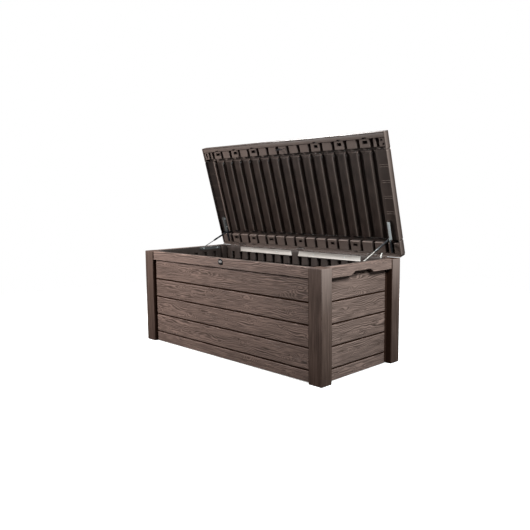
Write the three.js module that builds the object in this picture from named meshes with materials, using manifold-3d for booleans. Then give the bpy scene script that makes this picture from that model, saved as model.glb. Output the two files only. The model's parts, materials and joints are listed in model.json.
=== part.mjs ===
// Deck storage box: a moulded resin box with wood-look plank walls, four corner posts and one hinged lid
// that two gas struts hold open. Millimetres, +X along the front, +Y to the back, +Z up. The origin is on
// the ground under the middle of the box. The lid stands open, which is the rest position.

import * as THREE from 'three';
import { mergeVertices } from 'three/addons/utils/BufferGeometryUtils.js';
import Module from 'manifold-3d';

// ---- driving dimensions ----
const BODY = { width: 1544, depth: 690, rimZ: 601 };
const POST = { x: 88, y: 80, wall: 5, corner: 4 };
const GAP = 0.3;
const SKIN = 5;
const BEVEL = 3;
// How far a cutting or joining shape reaches past the surface it meets.
const PAST = 1;
const WALL_FOOT_Z = 5;
const RAIL_Z = 545;
const GROOVE = { first: 67, pitch: 117.5, count: 4, depth: 3.5, half: 5 };
const END_SLOT = { long: 14, short: 22, depth: 4 };

// Each wall is given from the middle of the box outwards: where its inner ribs, its planks and its rail end.
const LONG_WALL = {
  inner: 300, plank: 329, rail: 339, half: BODY.width / 2 - POST.x - GAP, flutes: 17, pitch: 81.5,
  slot: END_SLOT.long,
};
const END_WALL = {
  inner: 712, plank: 740, rail: 767, half: BODY.depth / 2 - POST.y - GAP, flutes: 6, pitch: 84,
  slot: END_SLOT.short,
};
const FLUTE = { top: 27, foot: 31, sheet: 4, inset: 0.8 };
const NOTCH = { baseHalf: 98, topHalf: 68, height: 18 };

const FLOOR = {
  top: 31, under: 26, ribFoot: 12.3, edge: 0.5, rib: 4, ribs: 5, ribPitch: 110,
  crossRibs: [0.02, 0.26, 0.5, 0.74, 0.98],
};
const FLOOR_BEAM = { half: 60, depth: 290, sheet: 5, height: 12 };

const HINGE = { y: 356.5, z: 607, barrel: 8, hole: 4.35, pin: 4, wallHalf: 20, lidTo: 38, gap: 0.4 };
const HINGE_X = { left: -570, centre: 0, right: 570 };
const LUG = { foot: 572, back: -349, backZ: 605, tipZ: 600.5, under: -351, underZ: 592 };
const OPEN_DEG = 74.5;

// The lid is drawn closed, from the hinge axis: its front edge is at -y, its top at +z.
const LID = {
  half: 775, top: 37, skirt: -5, skin: 4, sheet: 3, grooves: 4, grooveDepth: 3,
  frontBeam: [-714, -616.3], rearBeam: [-94.5, 1], jointZ: 14,
};
const FASCIA = { low: -19, overPost: -12 };
const LUG_CUT = { y: -11, z: 11.5 };
const BAND = {
  z: 11, sheet: 3, ridge: 2.8, ridgeHalf: 1.5, ridgeStep: 6, ribX: [712, 722], ribY: -215, ribZ: -3,
};
const PAD = {
  pitch: 90, halfWidth: 34, z: 5, count: 15, rowHalf: 672, blockX: 727, front: [-682, -632], rear: [-76, -14],
};
const FIELD = { halfWidth: 27, foot: 32, z: 8, half: 690, count: 15 };
const LIP = { z: -1, inner: -683 };

const BAR = {
  from: 28, to: 526, z: [567, 597], y: [296.5, 299.7], slant: 10, lip: 1.5, lipDepth: 3, screws: [163, 407.5],
};
const LOCK = {
  z: 581, ring: 18, bore: 13.2, wallBore: 13.8, ringOut: 4, plug: 12.5, plugOut: 2.5, spindle: 5,
  spindleEnd: -322.3, slotHalf: 4, slotTop: 8, slotNeck: 0.6, slotDepth: 1.5,
};
const CAM = { y: [-322, -316], hub: 6, half: 3.5, reach: 13.5 };
const CATCH = { half: 20, stem: 5, y: [-312, -309], tabY: -322, low: 566, bar: 4, tabFrom: 8, headZ: 634 };
const CATCH_OPENING = { half: 24, y: [-326, -306], lidHalf: 21, lidY: -662 };

const STRUT = {
  x: 699.5, low: [81, 590], lidY: -99, lidZ: 3, tube: 6, bore: 3.6, rod: 3, tubeLength: 150, inTube: 26,
  neck: 4,
};
const EYE = { x: [-2.3, 2.3], radius: 6.5 };
const STUD = { x: 706.2, radius: 5 };
const PLATE = {
  x: [709, 711.7], wallY: [70, 263], wallZ: [578, 597], wallScrewY: [110, 235],
  lidY: [-205, -20], lidZ: [-5.4, 10.7], lidScrewY: [-190, -130], lidScrewZ: 5,
  flangeX: [709, 727], flangeY: [-205, -100], flangeZ: [-5.4, -3.3],
};
const HOOK = { x: [684.5, 688.5], y: 270, width: 10, height: 27, lean: 16, taper: 0.6, steps: 6 };
const SCREW = { head: 4.5, headHeight: 1.8, shank: 2, length: 10, hole: 2.6, holeDepth: 13 };

// ---- materials ----
function finish(color, roughness, metalness) {
  return new THREE.MeshStandardMaterial({ color, roughness, metalness });
}

const RESIN = finish(0x6f5b52, 0.6, 0);
const POST_RESIN = finish(0x5d4b42, 0.6, 0);
const DARK_RESIN = finish(0x3d302a, 0.7, 0);
const STEEL = finish(0xb9b3a8, 0.35, 0.9);
const BLACK_PAINT = finish(0x17181a, 0.45, 0.3);
const WHITE_PLASTIC = finish(0xe8e2d8, 0.5, 0);

// ---- solids ----
const wasm = await Module();
wasm.setup();

function solid(geometry) {
  geometry.deleteAttribute('normal');
  geometry.deleteAttribute('uv');
  const merged = mergeVertices(geometry, 1e-4);
  const vertProperties = new Float32Array(merged.attributes.position.array);
  const triVerts = new Uint32Array(merged.index.array);
  return new wasm.Manifold(new wasm.Mesh({ numProp: 3, vertProperties, triVerts }));
}

function box([x0, x1], [y0, y1], [z0, z1]) {
  const geometry = new THREE.BoxGeometry(x1 - x0, y1 - y0, z1 - z0);
  return solid(geometry.translate((x0 + x1) / 2, (y0 + y1) / 2, (z0 + z1) / 2));
}

const AXES = { x: new THREE.Vector3(1, 0, 0), y: new THREE.Vector3(0, 1, 0), z: new THREE.Vector3(0, 0, 1) };
const FRAMES = {
  x: new THREE.Matrix4().makeBasis(AXES.y, AXES.z, AXES.x),
  y: new THREE.Matrix4().makeBasis(AXES.z, AXES.x, AXES.y),
  z: new THREE.Matrix4(),
};

// A prism along one axis. Points are (y, z) along x, (x, z) along y and (x, y) along z.
function prism(axis, points, from, to) {
  const outline = points.map(([a, b]) => (axis === 'y' ? new THREE.Vector2(b, a) : new THREE.Vector2(a, b)));
  const shape = new THREE.Shape(outline);
  const geometry = new THREE.ExtrudeGeometry(shape, { depth: to - from, bevelEnabled: false });
  return solid(geometry.translate(0, 0, from).applyMatrix4(FRAMES[axis]));
}

function rod(axis, [a, b], radius, from, to, sides = 24) {
  const points = [];
  for (let i = 0; i < sides; i += 1) {
    const turn = (2 * Math.PI * i) / sides;
    points.push([a + radius * Math.cos(turn), b + radius * Math.sin(turn)]);
  }
  return prism(axis, points, from, to);
}

function union(shapes) {
  return shapes.reduce((whole, shape) => whole.add(shape));
}

function mirrorPair(range) {
  return [range, [-range[1], -range[0]]];
}

function add(parent, name, shape, material) {
  const { vertProperties, triVerts } = shape.getMesh();
  const indexed = new THREE.BufferGeometry();
  indexed.setAttribute('position', new THREE.BufferAttribute(vertProperties, 3));
  indexed.setIndex(new THREE.BufferAttribute(triVerts, 1));
  const geometry = indexed.toNonIndexed();
  geometry.computeVertexNormals();
  const mesh = new THREE.Mesh(geometry, material.clone());
  mesh.name = name;
  parent.add(mesh);
}

// A corrugated sheet: ridges reach to `ridge`, the valleys between them lie at `valley`. Both are measured in
// the second coordinate of a section whose first coordinate is the position along the row of ridges.
function fluteSection({ centres, top, foot, ridge, valley, sheet, half }) {
  const side = Math.sign(ridge - valley);
  const near = [[-half, valley]];
  const far = [[-half, valley - side * sheet]];
  for (const c of centres) {
    near.push([c - foot, valley], [c - top, ridge], [c + top, ridge], [c + foot, valley]);
    const inset = sheet * FLUTE.inset;
    far.push([c - foot + inset, valley - side * sheet], [c - top + inset, ridge - side * sheet]);
    far.push([c + top - inset, ridge - side * sheet], [c + foot - inset, valley - side * sheet]);
  }
  near.push([half, valley]);
  far.push([half, valley - side * sheet]);
  return [...near, ...far.reverse()];
}

function row(count, pitch) {
  return Array.from({ length: count }, (_, i) => (i - (count - 1) / 2) * pitch);
}

// ---- walls ----
// Drawn as the front wall: outside is -y. The outer skin carries the plank grooves and folds out into the top
// rail, and an upright corrugated sheet stiffens it inside.
function wall({ inner, plank, rail, half, flutes, pitch, slot }) {
  const section = [[-plank, WALL_FOOT_Z]];
  for (let i = 0; i < GROOVE.count; i += 1) {
    const z = GROOVE.first + i * GROOVE.pitch;
    section.push([-plank, z - GROOVE.half], [-plank + GROOVE.depth, z], [-plank, z + GROOVE.half]);
  }
  section.push([-plank, RAIL_Z], [-rail, RAIL_Z], [-rail, BODY.rimZ - BEVEL], [-rail + BEVEL, BODY.rimZ]);
  section.push([-inner, BODY.rimZ], [-inner, BODY.rimZ - SKIN], [-rail + SKIN, BODY.rimZ - SKIN]);
  section.push([-rail + SKIN, RAIL_Z + SKIN], [-plank + SKIN, RAIL_Z + SKIN], [-plank + SKIN, WALL_FOOT_Z]);
  const skin = prism('x', section, -half, half);

  const plan = fluteSection({
    centres: row(flutes, pitch), top: FLUTE.top, foot: FLUTE.foot, sheet: FLUTE.sheet,
    ridge: -inner, valley: -plank + SKIN + FLUTE.sheet / 2, half,
  });
  const ribs = prism('z', plan, WALL_FOOT_Z, BODY.rimZ - PAST);

  const ends = mirrorPair([half - SKIN, half]).flatMap((x) => [
    box(x, [-plank + PAST, -inner], [WALL_FOOT_Z, BODY.rimZ - PAST]),
    box(x, [-rail + PAST, -inner], [RAIL_Z + PAST, BODY.rimZ - BEVEL - PAST]),
  ]);
  const slots = mirrorPair([half - slot, half + PAST]).map((x) => (
    box(x, [-plank - PAST, -plank + END_SLOT.depth], [WALL_FOOT_Z - PAST, RAIL_Z])
  ));
  return union([skin, ribs, ...ends]).subtract(union(slots));
}

function lockOpenings(shape) {
  const bore = rod('y', [0, LOCK.z], LOCK.wallBore, -LONG_WALL.rail - PAST, -LONG_WALL.rail + SKIN + PAST);
  const { half, y } = CATCH_OPENING;
  const slot = box([-half, half], y, [BODY.rimZ - SKIN - PAST, BODY.rimZ + PAST]);
  return shape.subtract(bore).subtract(slot);
}

// The hand hold: a notch in the rail's lower edge and the hollow behind it.
function handHold(shape) {
  const { rail, plank } = END_WALL;
  const notch = [
    [-NOTCH.baseHalf, RAIL_Z - PAST], [NOTCH.baseHalf, RAIL_Z - PAST],
    [NOTCH.topHalf, RAIL_Z + NOTCH.height], [-NOTCH.topHalf, RAIL_Z + NOTCH.height],
  ];
  const cut = prism('y', notch, -rail - PAST, -rail + SKIN + PAST);
  const hollow = box(
    [-NOTCH.topHalf, NOTCH.topHalf], [-rail + SKIN - PAST, -plank], [RAIL_Z - PAST, RAIL_Z + SKIN + PAST],
  );
  return shape.subtract(cut).subtract(hollow);
}

function hingeLugs(shape) {
  const root = -LONG_WALL.rail + PAST;
  const web = [
    [root, LUG.foot], [root, BODY.rimZ - BEVEL - PAST], [LUG.back, LUG.backZ], [-HINGE.y - PAST, LUG.tipZ],
    [LUG.under, LUG.underZ],
  ];
  const holes = [];
  const lugs = [];
  for (const x of Object.values(HINGE_X)) {
    const span = [x - HINGE.wallHalf, x + HINGE.wallHalf];
    lugs.push(prism('x', web, ...span), rod('x', [-HINGE.y, HINGE.z], HINGE.barrel, ...span));
    holes.push(rod('x', [-HINGE.y, HINGE.z], HINGE.hole, span[0] - PAST, span[1] + PAST));
  }
  return union([shape, ...lugs]).subtract(union(holes));
}

// ---- screws ----
// A pan-head screw along -y that stands at the origin with its head's underside at y = 0.
function screwShape() {
  const head = rod('y', [0, 0], SCREW.head, 0, SCREW.headHeight, 12);
  const shank = rod('y', [0, 0], SCREW.shank, -SCREW.length, SCREW.headHeight / 2, 8);
  return head.add(shank);
}

function screwHole(turnZ, position) {
  return rod('y', [0, 0], SCREW.hole, -SCREW.holeDepth, PAST, 8).rotate([0, 0, turnZ]).translate(position);
}

// ---- the box ----
const deckBox = new THREE.Group();

function placedWall(name, turnDeg, shape) {
  const frame = new THREE.Group();
  frame.rotation.z = THREE.MathUtils.degToRad(turnDeg);
  add(frame, name, shape, RESIN);
  deckBox.add(frame);
}

const barScrewZ = (BAR.z[0] + BAR.z[1]) / 2;
const wallScrewZ = (PLATE.wallZ[0] + PLATE.wallZ[1]) / 2;

placedWall('front_wall', 0, lockOpenings(wall(LONG_WALL)));

// In the wall's own frame the back wall's inside faces +y, so its screw holes run along -y.
const backHoles = BAR.screws.flatMap((x) => [x, -x].map((place) => (
  screwHole(0, [place, -LONG_WALL.inner, barScrewZ])
)));
placedWall('back_wall', 180, hingeLugs(wall(LONG_WALL)).subtract(union(backHoles)));

function endWall(side) {
  const holes = PLATE.wallScrewY.map((y) => screwHole(0, [side * y, -END_WALL.inner, wallScrewZ]));
  return handHold(wall(END_WALL)).subtract(union(holes));
}

placedWall('side_wall_left', -90, endWall(-1));
placedWall('side_wall_right', 90, endWall(1));

// Corner posts: square tubes with a closed top, standing on the ground.
function post(sideX, sideY) {
  const x = [BODY.width / 2 - POST.x, BODY.width / 2];
  const y = [BODY.depth / 2 - POST.y, BODY.depth / 2];
  const c = POST.corner;
  const bulge = c * (1 - Math.SQRT1_2);
  const outline = [
    [x[0], y[0]], [x[1], y[0]], [x[1], y[1] - c], [x[1] - bulge, y[1] - bulge], [x[1] - c, y[1]],
    [x[0], y[1]],
  ];
  const outer = prism('z', outline, 0, BODY.rimZ);
  const hollow = box(
    [x[0] + POST.wall, x[1] - POST.wall], [y[0] + POST.wall, y[1] - POST.wall], [-PAST, BODY.rimZ - SKIN],
  );
  const inDepth = sideY > 0 ? outer.subtract(hollow) : outer.subtract(hollow).mirror([0, 1, 0]);
  return sideX > 0 ? inDepth : inDepth.mirror([1, 0, 0]);
}

for (const [end, sideY] of [['front', -1], ['back', 1]]) {
  for (const [label, sideX] of [['left', -1], ['right', 1]]) {
    add(deckBox, `post_${end}_${label}`, post(sideX, sideY), POST_RESIN);
  }
}

// A small white hook stands on the back right post, curving backwards as it rises.
function cornerHook() {
  const front = [];
  const back = [];
  for (let i = 0; i <= HOOK.steps; i += 1) {
    const rise = i / HOOK.steps;
    const z = BODY.rimZ + GAP + HOOK.height * rise;
    const bend = HOOK.lean * rise * rise;
    front.push([HOOK.y + bend, z]);
    back.unshift([HOOK.y + bend + HOOK.width * (1 - HOOK.taper * rise), z]);
  }
  return prism('x', [...front, ...back], ...HOOK.x);
}

add(deckBox, 'corner_hook', cornerHook(), WHITE_PLASTIC);

// Floor: two ribbed halves on a beam that stands on the ground under their joint.
function floorPanel(side) {
  const reach = END_WALL.inner - FLOOR.edge;
  const depth = LONG_WALL.inner - FLOOR.edge;
  const x = side > 0 ? [GAP / 2, reach] : [-reach, -GAP / 2];
  const ribZ = [FLOOR.ribFoot, FLOOR.under + PAST];
  const pieces = [box(x, [-depth, depth], [FLOOR.under, FLOOR.top])];
  for (const y of row(FLOOR.ribs, FLOOR.ribPitch)) {
    pieces.push(box([x[0] + PAST, x[1] - PAST], [y - FLOOR.rib / 2, y + FLOOR.rib / 2], ribZ));
  }
  for (const step of FLOOR.crossRibs) {
    const at = THREE.MathUtils.lerp(x[0], x[1], step);
    pieces.push(box([at - FLOOR.rib / 2, at + FLOOR.rib / 2], [-depth + PAST, depth - PAST], ribZ));
  }
  const cornerX = BODY.width / 2 - POST.x - FLOOR.edge;
  const cornerY = BODY.depth / 2 - POST.y - FLOOR.edge;
  const corners = mirrorPair([cornerY, depth + PAST]).map((y) => (
    box(side > 0 ? [cornerX, reach + PAST] : [-reach - PAST, -cornerX], y, [0, FLOOR.top + PAST])
  ));
  return union(pieces).subtract(union(corners));
}

add(deckBox, 'floor_panel_left', floorPanel(-1), DARK_RESIN);
add(deckBox, 'floor_panel_right', floorPanel(1), DARK_RESIN);

function floorBeam() {
  const { half, depth, sheet, height } = FLOOR_BEAM;
  const ribs = [[-half, -half + sheet], [-sheet / 2, sheet / 2], [half - sheet, half]];
  return union([
    box([-half, half], [-depth, depth], [0, sheet]),
    ...ribs.map((x) => box(x, [-depth, depth], [sheet - PAST, height])),
  ]);
}

add(deckBox, 'floor_beam', floorBeam(), DARK_RESIN);

// Steel bars along the inside of the back rail, on both sides of the middle hinge, with their screws.
function rimBar(side) {
  const outline = [
    [BAR.from + BAR.slant, BAR.z[1]], [BAR.to, BAR.z[1]], [BAR.to, BAR.z[0]], [BAR.from, BAR.z[0]],
  ];
  const plate = prism('y', outline, ...BAR.y);
  const lipY = [BAR.y[0] - BAR.lipDepth, BAR.y[1] - PAST];
  const lips = [
    box([BAR.from + BAR.slant, BAR.to], lipY, [BAR.z[1] - BAR.lip, BAR.z[1]]),
    box([BAR.from, BAR.to], lipY, [BAR.z[0], BAR.z[0] + BAR.lip]),
  ];
  const whole = union([plate, ...lips]);
  const placed = side > 0 ? whole : whole.mirror([1, 0, 0]);
  const holes = BAR.screws.map((x) => screwHole(180, [side * x, BAR.y[0], barScrewZ]));
  return placed.subtract(union(holes));
}

function addScrew(parent, name, position, turnDeg) {
  const frame = new THREE.Group();
  frame.position.set(...position);
  frame.rotation.z = THREE.MathUtils.degToRad(turnDeg);
  add(frame, name, screwShape(), STEEL);
  parent.add(frame);
}

for (const [label, side] of [['left', -1], ['right', 1]]) {
  add(deckBox, `rim_bar_${label}`, rimBar(side), STEEL);
  BAR.screws.forEach((x, i) => {
    const place = [side * x, BAR.y[0] - GAP, barScrewZ];
    addScrew(deckBox, `rim_bar_screw_${label}_${i + 1}`, place, 180);
  });
}

for (const [label, x] of Object.entries(HINGE_X)) {
  const pin = rod('x', [HINGE.y, HINGE.z], HINGE.pin, x - HINGE.lidTo, x + HINGE.lidTo);
  add(deckBox, `hinge_pin_${label}`, pin, STEEL);
}

// ---- lock ----
const ringY = [-LONG_WALL.rail - LOCK.ringOut, -LONG_WALL.rail - GAP];
const ring = rod('y', [0, LOCK.z], LOCK.ring, ...ringY, 32)
  .subtract(rod('y', [0, LOCK.z], LOCK.bore, ringY[0] - PAST, ringY[1] + PAST, 32));
add(deckBox, 'lock_escutcheon', ring, BLACK_PAINT);

const plugFace = -LONG_WALL.rail - LOCK.plugOut;
const keySlot = union([-1, 1].map((s) => prism(
  'y',
  [
    [-LOCK.slotHalf, LOCK.z + s * LOCK.slotTop], [LOCK.slotHalf, LOCK.z + s * LOCK.slotTop],
    [0, LOCK.z - s * LOCK.slotNeck],
  ],
  plugFace - PAST, plugFace + LOCK.slotDepth,
)));
const plug = union([
  rod('y', [0, LOCK.z], LOCK.plug, plugFace, -LONG_WALL.rail + SKIN),
  rod('y', [0, LOCK.z], LOCK.spindle, -LONG_WALL.rail + SKIN - PAST, LOCK.spindleEnd),
]).subtract(keySlot);
add(deckBox, 'lock_plug', plug, STEEL);

// The cam points up while the box is unlocked and swings over the catch's tab, towards +x, to lock it.
const cam = union([
  rod('y', [0, LOCK.z], CAM.hub, ...CAM.y),
  box([-CAM.half, CAM.half], CAM.y, [LOCK.z, LOCK.z + CAM.reach]),
]);
add(deckBox, 'lock_cam', cam, STEEL);

// ---- lid ----
const lid = new THREE.Group();
lid.position.set(0, HINGE.y, HINGE.z);
lid.rotation.x = -THREE.MathUtils.degToRad(OPEN_DEG);
deckBox.add(lid);

const LID_UNDER = LID.top - LID.skin;
const PANEL_Y = [LID.frontBeam[1] + GAP, LID.rearBeam[0] - GAP];

// Pads that stand out of a beam's underside in a row, as one corrugated sheet, with a block at each corner.
function padRow([y0, y1]) {
  const section = fluteSection({
    centres: row(PAD.count, PAD.pitch), top: PAD.halfWidth, foot: PAD.halfWidth + PAST, sheet: LID.sheet,
    ridge: PAD.z, valley: LID_UNDER - LID.sheet + PAST, half: PAD.rowHalf,
  });
  const blocks = mirrorPair([PAD.blockX, LID.half - LID.skin + PAST]).map((x) => {
    const inside = [x[0] + LID.sheet, x[1] - LID.sheet];
    const hollow = box(inside, [y0 - PAST, y1 + PAST], [PAD.z + LID.sheet, LID_UNDER]);
    return box(x, [y0, y1], [PAD.z, LID_UNDER + PAST]).subtract(hollow);
  });
  return [prism('y', section, y0, y1), ...blocks];
}

function lidEnds([y0, y1]) {
  return mirrorPair([LID.half - LID.skin, LID.half]).map((x) => (
    box(x, [y0, y1], [LID.skirt, LID.top - PAST])
  ));
}

function frontBeam() {
  const [y0, y1] = LID.frontBeam;
  const { half, top, skin, skirt, jointZ } = LID;
  const section = [
    [y0, skirt], [y0, top - BEVEL], [y0 + BEVEL, top], [y1 - BEVEL, top], [y1, top - BEVEL], [y1, jointZ],
    [y1 - skin, jointZ], [y1 - skin, LID_UNDER], [LIP.inner, LID_UNDER], [LIP.inner, LIP.z],
    [y0 + skin, LIP.z], [y0 + skin, skirt],
  ];
  const cavity = [
    [y0 + skin, LIP.z + skin], [y0 + skin, LID_UNDER], [LIP.inner - skin, LID_UNDER],
    [LIP.inner - skin, LIP.z + skin],
  ];
  const shell = prism('x', section, -half, half).subtract(prism('x', cavity, -half + BEVEL, half + PAST));
  const { lidHalf, lidY } = CATCH_OPENING;
  const slot = box([-lidHalf, lidHalf], [LIP.inner - skin - PAST, lidY], [LIP.z - PAST, LID_UNDER - PAST]);
  return union([shell, ...padRow(PAD.front), ...lidEnds([y0, y1 - BEVEL])]).subtract(slot);
}

add(lid, 'lid_front_beam', frontBeam(), RESIN);

function rearBeam() {
  const [y0, y1] = LID.rearBeam;
  const { half, top, skin, jointZ } = LID;
  const section = [
    [y1, FASCIA.low], [y1, top - BEVEL], [y1 - BEVEL, top], [y0 + BEVEL, top], [y0, top - BEVEL],
    [y0, jointZ], [y0 + skin, jointZ], [y0 + skin, LID_UNDER], [y1 - skin, LID_UNDER], [y1 - skin, FASCIA.low],
  ];
  const knuckle = [
    [-HINGE.barrel, PAST], [-HINGE.barrel, LID_UNDER + PAST], [0, LID_UNDER + PAST],
    [HINGE.barrel - PAST, PAST],
  ];
  const overPosts = mirrorPair([BODY.width / 2 - POST.x - PAST, half + PAST]);
  const skirtY = [y1 - skin - PAST, y1 + PAST];
  const cuts = overPosts.map((x) => box(x, skirtY, [FASCIA.low - PAST, FASCIA.overPost]));
  const knuckles = [];
  const holes = [];
  for (const x of Object.values(HINGE_X)) {
    const wallSpan = [x - HINGE.wallHalf - HINGE.gap, x + HINGE.wallHalf + HINGE.gap];
    cuts.push(box(wallSpan, [LUG_CUT.y, y1 + PAST], [FASCIA.low - PAST, LUG_CUT.z]));
    for (const span of [[wallSpan[1], x + HINGE.lidTo], [x - HINGE.lidTo, wallSpan[0]]]) {
      knuckles.push(prism('x', knuckle, ...span), rod('x', [0, 0], HINGE.barrel, ...span));
    }
    holes.push(rod('x', [0, 0], HINGE.hole, x - HINGE.lidTo - PAST, x + HINGE.lidTo + PAST));
  }
  return union([prism('x', section, -half, half), ...padRow(PAD.rear), ...lidEnds([y0 + BEVEL, y1])])
    .subtract(union(cuts)).add(union(knuckles)).subtract(union(holes));
}

add(lid, 'lid_rear_beam', rearBeam(), RESIN);

// Side frames close the lid's ends between the beams: flat tubes with a pair of ridges at every pad pitch, and
// a rib that the strut's plate is screwed to.
function sideFrame(side) {
  const [x0, x1] = [FIELD.half + GAP, LID.half];
  const x2 = x1 - LID.skin;
  const section = [
    [x0, BAND.z], [x0, LID.top], [x1 - BEVEL, LID.top], [x1, LID.top - BEVEL], [x1, LID.skirt],
    [x2, LID.skirt], [x2, BAND.z],
  ];
  const hollowX = [x0 + BAND.sheet, x2];
  const hollow = box(hollowX, [PANEL_Y[0] - PAST, PANEL_Y[1] + PAST], [BAND.z + BAND.sheet, LID_UNDER]);
  const pieces = [
    prism('y', section, ...PANEL_Y).subtract(hollow),
    box(BAND.ribX, [BAND.ribY, PANEL_Y[1]], [BAND.ribZ, BAND.z + PAST]),
  ];
  for (let y = PANEL_Y[0] + PAD.pitch; y < BAND.ribY; y += PAD.pitch) {
    for (const at of [y - BAND.ridgeStep, y + BAND.ridgeStep]) {
      const ridgeY = [at - BAND.ridgeHalf, at + BAND.ridgeHalf];
      pieces.push(box([BAND.ribX[0], x2 + PAST], ridgeY, [BAND.z - BAND.ridge, BAND.z + PAST]));
    }
  }
  const holes = PLATE.lidScrewY.map((y) => screwHole(90, [PLATE.x[0], y, PLATE.lidScrewZ]));
  const whole = union(pieces).subtract(union(holes));
  return side > 0 ? whole : whole.mirror([1, 0, 0]);
}

add(lid, 'lid_side_frame_left', sideFrame(-1), RESIN);
add(lid, 'lid_side_frame_right', sideFrame(1), RESIN);

function lidPanel() {
  const [y0, y1] = PANEL_Y;
  const planks = LID.grooves + 1;
  const pitch = (y1 - y0) / planks;
  const section = [[y0, LID_UNDER], [y0, LID.top - BEVEL], [y0 + BEVEL, LID.top]];
  for (let i = 1; i < planks; i += 1) {
    const y = y0 + i * pitch;
    section.push([y - GROOVE.half, LID.top], [y, LID.top - LID.grooveDepth], [y + GROOVE.half, LID.top]);
  }
  section.push([y1 - BEVEL, LID.top], [y1, LID.top - BEVEL], [y1, LID_UNDER]);
  const skin = prism('x', section, -FIELD.half, FIELD.half);
  const flutes = fluteSection({
    centres: row(FIELD.count, PAD.pitch), top: FIELD.halfWidth, foot: FIELD.foot, sheet: LID.sheet,
    ridge: FIELD.z, valley: LID_UNDER - PAST, half: FIELD.half,
  });
  return skin.add(prism('y', flutes, y0, y1));
}

add(lid, 'lid_panel', lidPanel(), RESIN);

// The catch is drawn in the closed position, in the box's own coordinates, and moved to the lid's frame.
function lidCatch() {
  const h = CATCH.half;
  const topZ = CATCH.headZ;
  const stems = mirrorPair([h - CATCH.stem, h]).map((x) => box(x, CATCH.y, [CATCH.low, topZ]));
  const bar = box([-h, h], CATCH.y, [CATCH.low, CATCH.low + CATCH.bar]);
  const tab = box([CATCH.tabFrom, h], [CATCH.tabY, CATCH.y[1]], [CATCH.low, CATCH.low + CATCH.bar]);
  const head = box([-h, h], CATCH.y, [topZ - CATCH.bar, topZ]);
  return union([...stems, bar, tab, head]).translate([0, -HINGE.y, -HINGE.z]);
}

add(lid, 'lid_catch', lidCatch(), DARK_RESIN);

// ---- gas struts ----
// On each side an angle plate on the lid and a plate on the wall carry a stud; the rod pivots on the wall's stud.
const open = THREE.MathUtils.degToRad(OPEN_DEG);
const lidPivot = [
  HINGE.y + STRUT.lidY * Math.cos(open) + STRUT.lidZ * Math.sin(open),
  HINGE.z - STRUT.lidY * Math.sin(open) + STRUT.lidZ * Math.cos(open),
];
const rise = [lidPivot[0] - STRUT.low[0], lidPivot[1] - STRUT.low[1]];
const strutLength = Math.hypot(...rise);
const strutAngle = Math.atan2(rise[1], rise[0]);

function lidPlate() {
  const angle = box(PLATE.x, PLATE.lidY, PLATE.lidZ).add(box(PLATE.flangeX, PLATE.flangeY, PLATE.flangeZ));
  const plate = angle.subtract(union(
    PLATE.lidScrewY.map((y) => screwHole(90, [PLATE.x[0], y, PLATE.lidScrewZ])),
  ));
  return plate.add(rod('x', [STRUT.lidY, STRUT.lidZ], STUD.radius, STUD.x, PLATE.x[0] + PAST));
}

function wallPlate() {
  const plate = box(PLATE.x, PLATE.wallY, PLATE.wallZ).subtract(union(
    PLATE.wallScrewY.map((y) => screwHole(90, [PLATE.x[0], y, wallScrewZ])),
  ));
  return plate.add(rod('x', STRUT.low, STUD.radius, STUD.x, PLATE.x[0] + PAST));
}

// Drawn along +y from the wall pivot.
function strutRod() {
  return union([
    rod('x', [0, 0], EYE.radius, ...EYE.x),
    rod('y', [0, 0], STRUT.rod, STRUT.neck, strutLength - STRUT.tubeLength + STRUT.inTube, 16),
  ]);
}

function strutTube() {
  const mouth = strutLength - STRUT.tubeLength;
  const tubeEnd = strutLength - 3 * STRUT.neck;
  const body = rod('y', [0, 0], STRUT.tube, mouth, tubeEnd, 20);
  const bore = rod('y', [0, 0], STRUT.bore, mouth - PAST, tubeEnd - 2 * STRUT.neck, 16);
  const eye = rod('x', [strutLength, 0], EYE.radius, ...EYE.x);
  const neck = box(EYE.x, [tubeEnd - PAST, strutLength - STRUT.neck], [-STRUT.neck, STRUT.neck]);
  return union([body.subtract(bore), eye, neck]);
}

for (const [label, side] of [['left', -1], ['right', 1]]) {
  const mirrored = (shape) => (side > 0 ? shape : shape.mirror([1, 0, 0]));
  add(lid, `strut_lid_plate_${label}`, mirrored(lidPlate()), STEEL);
  add(deckBox, `strut_wall_plate_${label}`, mirrored(wallPlate()), STEEL);
  PLATE.lidScrewY.forEach((y, i) => {
    const place = [side * (PLATE.x[0] - GAP), y, PLATE.lidScrewZ];
    addScrew(lid, `strut_lid_screw_${label}_${i + 1}`, place, side * 90);
  });
  PLATE.wallScrewY.forEach((y, i) => {
    const place = [side * (PLATE.x[0] - GAP), y, wallScrewZ];
    addScrew(deckBox, `strut_wall_screw_${label}_${i + 1}`, place, side * 90);
  });
  const strut = new THREE.Group();
  strut.position.set(side * STRUT.x, ...STRUT.low);
  strut.rotation.x = strutAngle;
  add(strut, `strut_rod_${label}`, strutRod(), STEEL);
  add(strut, `strut_tube_${label}`, strutTube(), BLACK_PAINT);
  deckBox.add(strut);
}

export default deckBox;
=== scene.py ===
import json
import math

import bmesh
import bpy
import numpy as np
from mathutils import Matrix, Vector


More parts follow.
